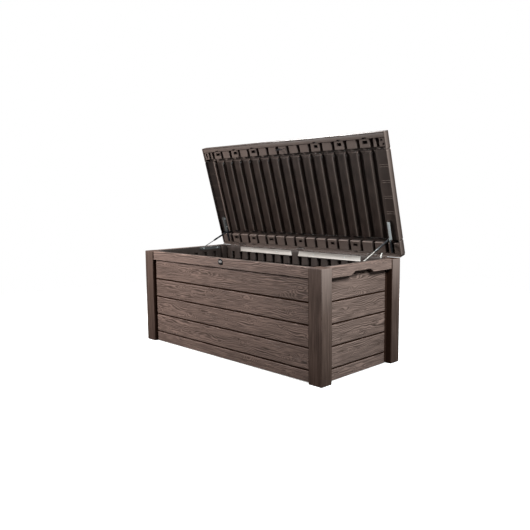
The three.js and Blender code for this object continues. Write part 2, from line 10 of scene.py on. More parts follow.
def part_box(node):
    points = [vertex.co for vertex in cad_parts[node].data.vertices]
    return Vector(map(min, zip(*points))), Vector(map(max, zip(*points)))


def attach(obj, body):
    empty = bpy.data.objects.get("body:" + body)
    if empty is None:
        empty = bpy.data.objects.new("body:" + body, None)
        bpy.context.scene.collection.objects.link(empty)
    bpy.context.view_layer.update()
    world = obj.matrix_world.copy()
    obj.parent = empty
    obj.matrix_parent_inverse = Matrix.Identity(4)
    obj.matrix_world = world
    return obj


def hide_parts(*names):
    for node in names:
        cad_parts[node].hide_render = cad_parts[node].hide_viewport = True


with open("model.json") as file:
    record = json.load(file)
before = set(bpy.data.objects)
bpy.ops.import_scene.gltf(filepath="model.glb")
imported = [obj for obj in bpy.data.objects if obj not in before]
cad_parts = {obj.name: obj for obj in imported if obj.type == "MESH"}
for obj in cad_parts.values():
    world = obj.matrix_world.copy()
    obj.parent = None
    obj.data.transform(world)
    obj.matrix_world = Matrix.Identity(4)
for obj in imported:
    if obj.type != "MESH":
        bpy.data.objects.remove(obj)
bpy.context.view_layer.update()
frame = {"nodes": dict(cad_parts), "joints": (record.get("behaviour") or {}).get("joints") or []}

# ---- sizes ----
JOINTS = {joint["name"]: joint for joint in frame["joints"]}
HINGE = Vector(JOINTS["lid_hinge"]["pos_m"])
LID_OPEN = math.radians(JOINTS["lid_hinge"]["range_deg"][1])
LOCK_AXIS = Vector(JOINTS["lock_turn"]["pos_m"])

RIM_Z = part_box("front_wall")[1][2]
FOOT_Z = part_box("front_wall")[0][2]
RAIL_Z = 0.545
INNER_RAIL_Z = 0.562
GROOVE_Z = [0.067 + 0.1175 * i for i in range(4)]

# Distances from the middle of the box to the lining's ridges, the lining's valleys, the planks and the rail.
LONG = {
    "half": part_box("front_wall")[1][0], "inner": -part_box("front_wall")[1][1], "valley": 0.322,
    "plank": 0.329, "rail": -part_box("front_wall")[0][1], "pitch": 0.0815, "slot": 0.014,
}
END = {
    "half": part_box("side_wall_right")[1][1], "inner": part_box("side_wall_right")[0][0], "valley": 0.733,
    "plank": 0.740, "rail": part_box("side_wall_right")[1][0], "pitch": 0.084, "slot": 0.022,
}
# The hand hold: half widths at its foot and top, height, and where the skin starts and stops lifting.
NOTCH = {"base": 0.098, "top": 0.068, "height": 0.018, "from": 0.528, "to": 0.595}
# The opening in the front lining for the lid's catch, and the (y, z) section of the web behind it.
CATCH = {"half": 0.0242, "foot": 0.556, "back": 0.3236}
CATCH_WEB = ((-0.3055, 0.562), (-0.3055, 0.5995), (-0.3006, 0.5995), (-0.3006, 0.562))
# Depths behind the planks' face: beside a post, under the rail, in the hand hold, the lowest, and the back.
SUNK = {"slot": 0.0040, "under_rail": 0.003, "pocket": 0.0045, "lowest": 0.0043, "back": 0.0046}

# The lid, in its own closed coordinates from the hinge axis.
LID_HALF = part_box("lid_front_beam")[1][0]
LID_FRONT = -0.714
LID_REAR = 0.001
LID_TOP = 0.037
LID_SKIRT = -0.005
LID_FLOOR = 0.031
FRONT_JOINT = -0.61615
REAR_JOINT = -0.09465
FASCIA_LOW = -0.019
FASCIA_OVER_POST = -0.012
BAND_Z = 0.011
RIB_FROM = -0.215
PANEL_HALF = 0.690
SEAM = 0.00015
PAD_PITCH = 0.090
PAD_HALF = 0.034
PAD_Z = 0.005
RIB_Z = 0.008
FRONT_PADS = (-0.682, -0.632)
REAR_PADS = (-0.076, -0.014)
HOLED_FRONT = (-7, -5, -3, 3, 5, 7)
HOLED_REAR = (-7, -5, -3, 0, 3, 5)
HINGES_X = (-0.570, 0.0, 0.570)
HINGE_LUG = {"half": 0.020, "clear": 0.0204, "pin_half": 0.038, "barrel": 0.008, "pin": 0.004}
POST_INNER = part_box("post_back_right")[0][0] - 0.001
STRUT = {
    "tube": 0.150, "in_tube": 0.026, "rod_radius": 0.003, "tube_radius": 0.006, "lid_end": (-0.099, 0.003),
}
LEG_FROM = -0.088

# The depth of the wood grain.
RELIEF = 0.0011
# Edge tones paint light and shade into the colour: 1 is a full painted highlight and -1 full painted shade.
# The value below is the painted shade in gaps and recesses.
PAINTED_SHADE = -0.95


# ---- noise and wood grain ----
def lattice(i, j, seed):
    mask = 0xFFFFFFFF
    value = (i * 374761393 + j * 668265263 + seed * 974634777) & mask
    value = ((value ^ (value >> 13)) * 1274126177) & mask
    return ((value ^ (value >> 16)) & 0xFFFF) / 65535.0


def noise(x, y, seed):
    """Smooth noise from 0 to 1 over a unit lattice."""
    i = np.floor(x).astype(np.int64)
    j = np.floor(y).astype(np.int64)
    s = x - i
    t = y - j
    s = s * s * (3 - 2 * s)
    t = t * t * (3 - 2 * t)
    low = lattice(i, j, seed) * (1 - s) + lattice(i + 1, j, seed) * s
    high = lattice(i, j + 1, seed) * (1 - s) + lattice(i + 1, j + 1, seed) * s
    return low * (1 - t) + high * t


def wood(along, across, plank, seed):
    """Grain relief from 0 to 1: level lines of a stretched swell, which close into loops round its peaks."""
    shifted = along + plank * 0.37
    swell = noise(shifted / 0.19, across / 0.050 + plank * 5.3, seed)
    knot = noise(shifted / 0.11, across / 0.030 + plank * 2.7, seed + 5)
    sway = noise(shifted / 0.035, across / 0.012, seed + 1)
    rings = across / 0.0080 + 4.6 * swell + 5.5 * np.maximum(knot - 0.60, 0) / 0.40 + 0.5 * sway
    ring = 0.5 + 0.5 * np.sin(2 * math.pi * rings)
    streak = noise(shifted / 0.060, across / 0.0024, seed + 2)
    strength = 0.45 + 0.5 * noise(shifted / 0.12, across / 0.02, seed + 3)
    return np.clip(0.5 + (ring ** 1.6 - 0.38) * strength + 0.7 * (streak - 0.5), 0, 1)


# ---- mesh parts ----
def lines(ranges, *edges):
    """Sorted grid lines: each range is (from, to, step), and each edge is one more line."""
    values = [np.asarray(edges, float)]
    for start, stop, step in ranges:
        values.append(np.linspace(start, stop, max(2, int(round((stop - start) / step)) + 1)))
    merged = np.unique(np.round(np.concatenate(values), 6))
    low, high = ranges[0][0], ranges[-1][1]
    inside = merged[(merged >= low - 1e-6) & (merged <= high + 1e-6)]
    keep = np.concatenate([[True], np.diff(inside) > 0.00019])
    return inside[keep]


def outward(part):
    """Turns a closed part's faces so that they point out."""
    co = part["co"]
    volume = 0.0
    quads = part["quads"]
    for a, b, c in ((0, 1, 2), (0, 2, 3)):
        volume += np.einsum("ij,ij->", co[quads[:, a]], np.cross(co[quads[:, b]], co[quads[:, c]]))
    for ngon in part["ngons"]:
        first = np.broadcast_to(co[ngon[0]], (len(ngon) - 2, 3))
        volume += np.einsum("ij,ij->", first, np.cross(co[ngon[1:-1]], co[ngon[2:]]))
    if volume < 0:
        part["quads"] = quads[:, ::-1]
        part["ngons"] = [ngon[::-1] for ngon in part["ngons"]]
    return part


def slab(u, v, surface, back, place):
    """A closed plate on a grid. surface gives depth, grain and edge tone, and back is its flat rear face."""
    across, up = np.meshgrid(u, v, indexing="ij")
    made = surface(across, up)
    across, up, depth = made.get("u", across), made.get("v", up), made["w"]
    count_u, count_v = depth.shape
    index = np.arange(depth.size).reshape(count_u, count_v)
    rim = np.concatenate([index[:-1, 0], index[-1, :-1], index[:0:-1, -1], index[0, :0:-1]])
    low = depth.size + np.arange(rim.size)
    ahead = np.roll(np.arange(rim.size), -1)
    face = np.stack([index[:-1, :-1], index[1:, :-1], index[1:, 1:], index[:-1, 1:]], -1).reshape(-1, 4)
    side = np.stack([rim[ahead], rim, low, low[ahead]], -1)
    flat_u, flat_v, flat_w = across.ravel(), up.ravel(), depth.ravel()
    all_u = np.concatenate([flat_u, flat_u[rim]])
    all_v = np.concatenate([flat_v, flat_v[rim]])
    all_w = np.concatenate([flat_w, np.full(rim.size, back)])
    tone = {}
    for key, rest in (("grain", 0.45), ("edge", 0.0)):
        values = np.broadcast_to(made.get(key, rest), depth.shape).ravel()
        tone[key] = np.concatenate([values, np.full(rim.size, rest)])
    along, over = made.get("along", across).ravel(), made.get("over", up).ravel()
    local = np.stack([np.concatenate([along, along[rim]]), np.concatenate([over, over[rim]]), all_w], -1)
    return outward({
        "co": np.stack(place(all_u, all_v, all_w), -1), "quads": np.concatenate([face, side]),
        "ngons": [low[::-1]], "local": local, **tone,
    })


def lathe(profile, start, direction, sides=40):
    """A turned part. The profile is (distance along the axis, radius), from one end to the other."""
    axis = Vector(direction).normalized()
    first = axis.orthogonal().normalized()
    second = axis.cross(first)
    turn = np.arange(sides) * 2 * math.pi / sides
    ring = np.outer(np.cos(turn), first) + np.outer(np.sin(turn), second)
    rings = [np.array(start) + np.array(axis) * t + ring * r for t, r in profile]
    return loft(rings)


def loft(rings, grain=0.45, local=None, edge=0.0):
    """A closed part through rings of points, with flat ends."""
    count = len(rings[0])
    co = np.concatenate(rings)
    index = np.arange(len(rings) * count).reshape(len(rings), count)
    ahead = np.roll(index, -1, axis=1)
    quads = np.stack([index[:-1], ahead[:-1], ahead[1:], index[1:]], -1).reshape(-1, 4)
    return outward({
        "co": co, "quads": quads, "ngons": [index[0][::-1], index[-1]],
        "local": co if local is None else local,
        "grain": np.broadcast_to(grain, len(co)), "edge": np.broadcast_to(edge, len(co)),
    })


def piece(name, parts, materials, body, nodes, kinds=None):
    """One object from several closed parts. kinds gives each part's material by its place in the list."""
    mesh = bpy.data.meshes.new(name)
    sizes = [len(part["co"]) for part in parts]
    starts = np.concatenate([[0], np.cumsum(sizes)[:-1]])
    co = np.concatenate([part["co"] for part in parts])
    loops, totals, kind_of = [], [], []
    for number, (part, start) in enumerate(zip(parts, starts)):
        loops.append((part["quads"] + start).ravel())
        totals.append(np.full(len(part["quads"]), 4))
        for ngon in part["ngons"]:
            loops.append(ngon + start)
            totals.append([len(ngon)])
        kind = kinds[number] if kinds else 0
        kind_of.append(np.full(len(part["quads"]) + len(part["ngons"]), kind))
    loops = np.concatenate(loops)
    totals = np.concatenate(totals)
    mesh.vertices.add(len(co))
    mesh.vertices.foreach_set("co", co.astype(np.float32).ravel())
    mesh.loops.add(len(loops))
    mesh.loops.foreach_set("vertex_index", loops.astype(np.int32))
    mesh.polygons.add(len(totals))
    mesh.polygons.foreach_set("loop_start", np.concatenate([[0], np.cumsum(totals)[:-1]]).astype(np.int32))
    for key, form in (("grain", "FLOAT"), ("edge", "FLOAT"), ("local", "FLOAT_VECTOR")):
        attribute = mesh.attributes.new(key, form, "POINT")
        values = np.concatenate([part[key] for part in parts]).astype(np.float32)
        attribute.data.foreach_set("vector" if form == "FLOAT_VECTOR" else "value", values.ravel())
    for material in materials:
        mesh.materials.append(material)
    mesh.update(calc_edges=True)
    mesh.polygons.foreach_set("material_index", np.concatenate(kind_of).astype(np.int32))
    mesh.shade_smooth()
    mesh.set_sharp_from_angle(angle=math.radians(38))
    thing = bpy.data.objects.new(name, mesh)
    bpy.context.scene.collection.objects.link(thing)
    return dress(thing, body, nodes)


def dress(thing, body, nodes):
    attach(thing, body)
    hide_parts(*nodes)
    return thing


def refined(name, node, material, body, bevel, segments=3, beyond=None):
    """A copy of a CAD part as a clean mesh, with its edges rounded. beyond is (point, normal, material): the
    part's faces on that side of a plane get the other material."""
    shape = bmesh.new()
    shape.from_mesh(frame["nodes"][node].data)
    bmesh.ops.remove_doubles(shape, verts=shape.verts, dist=1e-5)
    bmesh.ops.dissolve_limit(shape, angle_limit=math.radians(2), verts=shape.verts, edges=shape.edges)
    if beyond:
        everything = [*shape.verts, *shape.edges, *shape.faces]
        bmesh.ops.bisect_plane(shape, geom=everything, plane_co=beyond[0], plane_no=beyond[1])
    for face in shape.faces:
        face.smooth = True
        past = beyond and (face.calc_center_median() - beyond[0]).dot(beyond[1]) > 0
        face.material_index = 1 if past else 0
    mesh = bpy.data.meshes.new(name)
    shape.to_mesh(mesh)
    shape.free()
    mesh.materials.append(material)
    if beyond:
        mesh.materials.append(beyond[2])
    thing = bpy.data.objects.new(name, mesh)
    bpy.context.scene.collection.objects.link(thing)
    rounding = thing.modifiers.new("rounding", "BEVEL")
    rounding.width = bevel
    rounding.segments = segments
    rounding.limit_method = "ANGLE"
    rounding.angle_limit = math.radians(25)
    rounding.harden_normals = True
    return dress(thing, body, [node])


# ---- materials ----
def node(tree, kind, inputs=None, **settings):
    made = tree.nodes.new(kind)
    for key, value in settings.items():
        setattr(made, key, value)
    for key, value in (inputs or {}).items():
        if isinstance(value, bpy.types.NodeSocket):
            tree.links.new(value, made.inputs[key])
        else:
            made.inputs[key].default_value = value
    return made


def blank(name):
    material = bpy.data.materials.new(name)
    material.use_nodes = True
    return material, material.node_tree, material.node_tree.nodes["Principled BSDF"]


def mix(tree, factor, first, second, blend="MIX"):
    made = node(tree, "ShaderNodeMix", {0: factor, 6: first, 7: second}, data_type="RGBA", blend_type=blend)
    return made.outputs[2]


def math_node(tree, operation, first, second):
    return node(tree, "ShaderNodeMath", {0: first, 1: second}, operation=operation).outputs[0]


def attribute(tree, name, output="Fac"):
    return node(tree, "ShaderNodeAttribute", attribute_name=name).outputs[output]


def ranged(tree, value, low=0.0, high=1.0, to_low=0.0, to_high=1.0):
    inputs = {"Value": value, "From Min": low, "From Max": high, "To Min": to_low, "To Max": to_high}
    return node(tree, "ShaderNodeMapRange", inputs).outputs[0]


def mottle(tree, at, scale, detail, stretch=None, roughness=0.5):
    """Noise from 0 to 1 over coordinates that may be stretched first."""
    if stretch:
        at = node(tree, "ShaderNodeMapping", {"Vector": at, "Scale": stretch}).outputs[0]
    inputs = {"Vector": at, "Scale": scale, "Detail": detail, "Roughness": roughness}
    return node(tree, "ShaderNodeTexNoise", inputs).outputs["Fac"]


def paint_light_and_shade(tree, edge, base, light, dark):
    """Paints highlights into a colour where the edge tone is above 0, and paints shade into it below."""
    base = mix(tree, ranged(tree, edge), base, (*light, 1))
    return mix(tree, ranged(tree, edge, high=-1.0), base, (*dark, 1))


def connect(tree, shader, base, rough, height, strength, distance):
    """Links colour, roughness and a bump of the given height to the shader."""
    bump = node(tree, "ShaderNodeBump", {"Height": height, "Strength": strength, "Distance": distance})
    for socket, value in (("Base Color", base), ("Roughness", rough), ("Normal", bump.outputs[0])):
        tree.links.new(value, shader.inputs[socket])


def wood_resin(name, dark, light, highlight_colour, roughness=0.58):
    """Moulded resin with embossed wood grain, which follows each skin's own (along, across) coordinates."""
    material, tree, shader = blank(name)
    local, edge = attribute(tree, "local", "Vector"), attribute(tree, "edge")
    fibre = mottle(tree, local, 1.0, 5.0, (9, 420, 60), 0.65)
    broad = mottle(tree, local, 1.0, 3.0, (2.2, 14, 5))
    share = math_node(tree, "MULTIPLY", attribute(tree, "grain"), 0.6)
    height = math_node(tree, "ADD", share, math_node(tree, "MULTIPLY", fibre, 0.45))
    base = mix(tree, ranged(tree, height, 0.26, 0.80), (*dark, 1), (*light, 1))
    base = mix(tree, 1.0, base, ranged(tree, broad, 0.3, 0.7, 0.84, 1.12), "MULTIPLY")
    # Painted highlights and painted shade, by the edge tone.
    base = paint_light_and_shade(tree, edge, base, highlight_colour, (0.022, 0.010, 0.006))
    rough = ranged(tree, fibre, 0.3, 0.7, roughness + 0.08, roughness - 0.08)
    pebbles = math_node(tree, "MULTIPLY", mottle(tree, local, 900.0, 2.0), 0.25)
    connect(tree, shader, base, rough, math_node(tree, "ADD", fibre, pebbles), 0.7, 0.0005)
    gloss = ranged(tree, edge, -0.6, 0.0, 0.0, 0.35)
    tree.links.new(gloss, shader.inputs["Specular IOR Level"])
    return material


def plain_resin(name, dark, light, roughness, highlight_tone=None):
    """Moulded resin without wood grain: faint flow marks and a fine pebbled surface. With a highlight tone,
    the edge tone paints highlights and shade into it.
    """
    material, tree, shader = blank(name)
    at = node(tree, "ShaderNodeTexCoord").outputs["Object"]
    flow = mottle(tree, at, 1.0, 6.0, (22, 7, 12), 0.6)
    base = mix(tree, ranged(tree, flow, 0.3, 0.72), (*dark, 1), (*light, 1))
    if highlight_tone:
        # Painted highlights and painted shade, by the edge tone.
        base = paint_light_and_shade(tree, attribute(tree, "edge"), base, highlight_tone, (0.003, 0.002, 0.002))
    rough = ranged(tree, flow, 0.0, 1.0, roughness - 0.1, roughness + 0.1)
    connect(tree, shader, base, rough, mottle(tree, at, 700.0, 3.0), 0.4, 0.0004)
    return material


def metal(name, dark, light, roughness, grain, scale, metallic, specular=0.5):
    """Plated or painted metal with fine streaks or spangle, by the grain vector."""
    material, tree, shader = blank(name)
    at = node(tree, "ShaderNodeTexCoord").outputs["Object"]
    streak = mottle(tree, at, scale, 4.0, grain)
    base = mix(tree, ranged(tree, streak, 0.35, 0.65), (*dark, 1), (*light, 1))
    rough = ranged(tree, streak, 0.0, 1.0, roughness - 0.1, roughness + 0.12)
    connect(tree, shader, base, rough, streak, 0.2, 0.0002)
    shader.inputs["Metallic"].default_value = metallic
    shader.inputs["Specular IOR Level"].default_value = specular
    return material


# The grain's dark and light tones, then the colour of the painted highlights.
WOOD_TONES = ((0.062, 0.040, 0.032), (0.265, 0.182, 0.152), (0.36, 0.26, 0.225))
BLACK_TONES = ((0.012, 0.012, 0.014), (0.028, 0.028, 0.03))
# How the noise is stretched: streaks from rolling, spangle from dipping, or the same all over.
STREAKS = (1, 8, 8)
SPANGLE = (0.3, 1, 1)
EVEN = (1, 1, 1)

WALL_SKIN = wood_resin("wall_grain", *WOOD_TONES)
# The posts' third tone is the colour of their painted highlights.
POST_SKIN = wood_resin("post_grain", (0.052, 0.033, 0.026), (0.155, 0.104, 0.085), (0.33, 0.255, 0.225), 0.42)
LID_SKIN = wood_resin("lid_grain", *WOOD_TONES)
LINING = plain_resin("lining_resin", (0.021, 0.014, 0.011), (0.046, 0.031, 0.026), 0.5)
# The lid's lining is dark partly as its own colour and partly as painted shade under the open lid; its last
# tone is the colour of painted highlights.
LID_LINING = plain_resin("lid_lining_resin", (0.014, 0.0085, 0.0065), (0.036, 0.0225, 0.018), 0.42,
                         highlight_tone=(0.42, 0.325, 0.285))
FLOOR_RESIN = plain_resin("floor_resin_finish", (0.04, 0.028, 0.023), (0.07, 0.05, 0.042), 0.6)
ZINC = metal("zinc_plate", (0.46, 0.50, 0.51), (0.66, 0.70, 0.70), 0.38, STREAKS, 60.0, metallic=0.35)
# A dark copy of the zinc plating for the left side's fittings: painted shade.
SHADED_ZINC = metal("zinc_plate_painted_shade", (0.055, 0.056, 0.055), (0.12, 0.12, 0.118), 0.5, STREAKS, 60.0,
                  metallic=0.2)
ROD_STEEL = metal("rod_steel", (0.46, 0.43, 0.40), (0.62, 0.58, 0.54), 0.35, STREAKS, 60.0, metallic=0.3)
GALVANISED = metal("galvanised_sheet", (0.47, 0.435, 0.405), (0.56, 0.525, 0.49), 0.5, SPANGLE, 45.0,
                   metallic=0.15)
GLOSS_BLACK = metal("gloss_black_paint", *BLACK_TONES, 0.32, EVEN, 300.0, metallic=0.0, specular=0.9)
BLACK = metal("black_enamel", *BLACK_TONES, 0.5, EVEN, 300.0, metallic=0.0, specular=0.12)
WHITE_PLASTIC = plain_resin("white_plastic_finish", (0.62, 0.59, 0.55), (0.78, 0.75, 0.71), 0.4)
CHROME = metal("lock_chrome", (0.72, 0.69, 0.67), (0.90, 0.87, 0.85), 0.25, EVEN, 400.0, metallic=0.3)


# ---- walls ----
def around(values, *edges):
    return [value + edge for value in values for edge in edges]


def mirrored(*values):
    return [-value for value in values] + list(values)


GROOVE = ((0.0034, 0.0042, 0.0054, 0.0090), (0.0041, 0.0024, 0.0008, 0))
# Edge tone across a groove: painted shade in it and a painted highlight on its bevels.
GROOVE_PAINTED_LIGHT = ((0.0045, 0.0051, 0.0066, 0.0095), (-0.97, 0.45, 0.2, 0))
PLANK_EDGES = tuple(mirrored(*GROOVE[0]))
# The rail's face against height, and its tone: a painted highlight over the rail, strongest near its top, and
# painted shade on the rim. The skin turns in at ARRIS below the rail.
ARRIS = 0.0003
RAIL_FACE = (
    (RAIL_Z - 0.0002, RAIL_Z + 0.0012, RAIL_Z + 0.004, RIM_Z - 0.004, RIM_Z - 0.0012, RIM_Z),
    (0.003, 0.0009, 0, 0, 0.0009, 0.003),
)
RAIL_PAINTED_LIGHT = ((RAIL_Z + 0.002, RIM_Z - 0.0032, RIM_Z - 0.0024, RIM_Z - 0.0008), (0.1, 0.1, 0.25, -0.25))


def groove_painted_light(gap, below):
    """Painted shade in a groove, and a painted highlight along the bevels beside it, stronger on the one
    under it.
    """
    return np.interp(gap, *GROOVE_PAINTED_LIGHT) - 0.3 * (~below) * (gap > 0.0048) * (gap < 0.007)


def wall_skin(size, seed, notch):
    """The outer skin: planks with grooves between them, and the rail over them. It lifts at the hand hold."""
    groove_z = np.array(GROOVE_Z)

    def surface(u, v):
        on_planks = v < RAIL_Z - ARRIS
        lift = np.interp(v, [NOTCH["from"], RAIL_Z - 0.0006, RAIL_Z + 0.004, NOTCH["to"]], [0, 1, 1, 0])
        arch = np.interp(np.abs(u), [NOTCH["top"], NOTCH["base"]], [NOTCH["height"], 0]) * notch
        up = v + lift * arch
        plank = np.searchsorted(np.array([*GROOVE_Z, RAIL_Z]), v)
        grain = wood(u, up, plank, seed)
        gap = np.min([np.abs(v - z) for z in GROOVE_Z], axis=0)
        end = size["half"] - np.abs(u)

        w = size["plank"] - np.interp(gap, *GROOVE)
        w = w - RELIEF * (1 - grain) * np.interp(gap, [0.004, 0.009], [0, 1])
        w = w - np.interp(end - size["slot"], [-0.001, 0, 0.003], [SUNK["slot"], 0.0008, 0])
        under_rail = np.interp(v, [RAIL_Z - 0.004, RAIL_Z - 0.003], [0, SUNK["under_rail"]])
        pocket = np.interp(up, [RAIL_Z - 0.002, RAIL_Z + 0.002], [0, SUNK["pocket"]]) * (arch > 0.004)
        w = np.where(on_planks, w - under_rail - pocket, w)
        w = np.maximum(w, size["plank"] - SUNK["lowest"])
        face = np.interp(v, *RAIL_FACE)
        rail = size["rail"] - face - RELIEF * (1 - grain) * np.interp(face, [0, 0.0005], [1, 0])
        w = np.where(on_planks, w, rail)

        # Painted light and shade: groove shade and bevel highlights, a highlight on the rail, and the painted
        # shadows that follow.
        nearest = np.argmin([np.abs(v - z) for z in GROOVE_Z], axis=0)
        edge = groove_painted_light(gap, v < groove_z[nearest])
        edge = np.where(v >= RAIL_Z, np.interp(v, *RAIL_PAINTED_LIGHT), edge)
        # Painted shadow under the rail.
        edge = np.where(on_planks & (v > RAIL_Z - 0.0042), -0.85, edge)
        # Painted shade in the slot beside each post.
        edge = np.where((end < size["slot"] - 0.0005) & (v < RAIL_Z), PAINTED_SHADE, edge)
        # Painted shadow under the hand hold's arch.
        edge = np.where((v < RAIL_Z) & (arch > 0.001) & (up > RAIL_Z + arch - 0.008), -0.9, edge)
        return {"v": up, "w": w, "grain": grain, "edge": edge, "along": u + plank * 0.61, "over": up}

    half = size["half"]
    slots = mirrored(half - size["slot"])
    u = lines([(-half, half, 0.0062)], *around(slots, -0.003, -0.001, 0, 0.001, 0.003),
              *mirrored(NOTCH["base"], NOTCH["top"]))
    v = lines([(FOOT_Z, RIM_Z, 0.0019)], *around(GROOVE_Z, *PLANK_EDGES),
              *around([RAIL_Z], -0.0066, -0.0062, -0.004, -0.003, -0.0006, -0.0002, 0.0012, 0.004),
              RIM_Z - 0.004, RIM_Z - 0.0012)
    return u, v, surface


LINING_RIB = ((0.0235, 0.0255, 0.027, 0.031), (1, 0.97, 0.9, 0))
LINING_BREAK_Z = 0.505


def wall_lining(size, catch):
    """The inner lining: an upright ribbed sheet under a flat rail, with an opening for the lid's catch."""
    def surface(u, v):
        near = u - np.clip(np.round(u / size["pitch"]), -40, 40) * size["pitch"]
        rib = np.interp(np.abs(near), *LINING_RIB)
        broken = np.interp(np.abs(v - LINING_BREAK_Z), [0.004, 0.006], [0.45, 1])
        foot = np.interp(v, [FOOT_Z + 0.03, FOOT_Z + 0.034], [0, 1])
        rail = np.interp(v, [INNER_RAIL_Z - 0.004, INNER_RAIL_Z - 0.001, INNER_RAIL_Z], [0, 0.9, 1])
        height = np.maximum(np.maximum(rib * broken * foot, rail), 1 - foot)
        top = np.interp(v, [RIM_Z - 0.004, RIM_Z - 0.0012, RIM_Z], [0, 0.0009, 0.003])
        w = size["valley"] - (size["valley"] - size["inner"]) * height + top
        if catch:
            w = np.where((np.abs(u) < CATCH["half"]) & (v > CATCH["foot"]), CATCH["back"], w)
        return {"w": w}

    half = size["half"]
    centres = np.arange(-9, 10) * size["pitch"]
    centres = centres[np.abs(centres) < half + 0.03]
    u = lines([(-half, half, half)], *around(centres, 0, *mirrored(0.012, *LINING_RIB[0])))
    v = lines([(FOOT_Z, RIM_Z, 0.02)], FOOT_Z + 0.03, FOOT_Z + 0.034,
              *around([LINING_BREAK_Z], *mirrored(0.004, 0.006)),
              INNER_RAIL_Z - 0.004, INNER_RAIL_Z - 0.001, INNER_RAIL_Z, RIM_Z - 0.004, RIM_Z - 0.0012)
    if catch:
        u = lines([(-half, half, half)], *u, *around(mirrored(CATCH["half"]), -0.0001, 0.0001))
        v = lines([(FOOT_Z, RIM_Z, 0.02)], *v, CATCH["foot"] - 0.0001, CATCH["foot"] + 0.0001)
    return u, v, surface


def make_wall(name, size, place, seed, notch=False, catch=False, more=()):
    back = size["plank"] - SUNK["back"]
    skin = slab(*wall_skin(size, seed, notch), back, place)
    lining = slab(*wall_lining(size, catch), back, place)
    parts = [skin, lining, *more]
    kinds = [0] + [1] * (len(parts) - 1)
    piece(f"{name}_skin", parts, [WALL_SKIN, LINING], "box", [name], kinds)


def rounded_bar(outline, x_from, x_to, bevel):
    """A prism along x with rounded end edges. The outline is a list of (y, z)."""
    points = np.array(outline, float)
    middle = points.mean(axis=0)
    rings = []
    for x, inset in ((x_from, bevel), (x_from + bevel * 0.3, bevel * 0.3), (x_from + bevel, 0),
                     (x_to - bevel, 0), (x_to - bevel * 0.3, bevel * 0.3), (x_to, bevel)):
        away = points - middle
        reach = np.linalg.norm(away, axis=1, keepdims=True)
        ring = middle + away * (reach - inset) / reach
        rings.append(np.column_stack([np.full(len(ring), x), ring]))
    return loft(rings)


def barrel(x_from, x_to, radius=HINGE_LUG["barrel"], bevel=0.0008):
    """A rod on the lid's hinge axis."""
    length = x_to - x_from
    profile = [(0, radius - bevel), (bevel, radius), (length - bevel, radius), (length, radius - bevel)]
    return lathe(profile, (x_from, HINGE.y, HINGE.z), (1, 0, 0))


def hinge_lugs():
    """The back wall's three lugs, each a web that rises from the rail to a barrel on the hinge axis."""
    web = [(0.338, 0.574), (0.338, 0.597), (0.349, 0.605), (0.3575, 0.6005), (0.351, 0.592)]
    made = []
    for x in HINGES_X:
        sides = (x - HINGE_LUG["half"], x + HINGE_LUG["half"])
        made += [rounded_bar(web, *sides, 0.001), barrel(*sides)]
    return made


catch_web = rounded_bar(CATCH_WEB, -CATCH["half"] - 0.0004, CATCH["half"] + 0.0004, 0.0004)
make_wall("front_wall", LONG, lambda u, v, w: (u, -w, v), 11, catch=True, more=[catch_web])
make_wall("back_wall", LONG, lambda u, v, w: (-u, w, v), 23, more=hinge_lugs())
make_wall("side_wall_right", END, lambda u, v, w: (w, u, v), 37, notch=True)
make_wall("side_wall_left", END, lambda u, v, w: (-w, -u, v), 41, notch=True)


# ---- posts ----
def post_ring(half_x, half_y, inset, corner=0.005, arris=0.0015, spacing=0.0022):
    """A rectangle with its +x +y corner rounded, walked at an even spacing: points and outward normals."""
    x, y = half_x - inset, half_y - inset
    radii = [(1, 1, corner), (-1, 1, arris), (-1, -1, arris), (1, -1, arris)]
    points = []
    normals = []
    for number, (sx, sy, radius) in enumerate(radii):
        centre = np.array([sx * (x - radius), sy * (y - radius)])
        start = math.pi / 2 * number
        for step in range(6):
            turn = start + math.pi / 2 * step / 5
            normal = np.array([math.cos(turn), math.sin(turn)])
            points.append(centre + radius * normal)
            normals.append(normal)
        nsx, nsy, nradius = radii[(number + 1) % 4]
        ahead = np.array([nsx * (x - nradius), nsy * (y - nradius)]) + nradius * normals[-1]
        count = int((half_x if number in (0, 2) else half_y) * 2 / spacing)
        begin = points[-1]
        for step in range(1, count):
            points.append(begin + (ahead - begin) * step / count)
            normals.append(normals[-1])
    return np.array(points), np.array(normals)


def between(values, low, high):
    return (np.abs(values) > low) & (np.abs(values) < high)


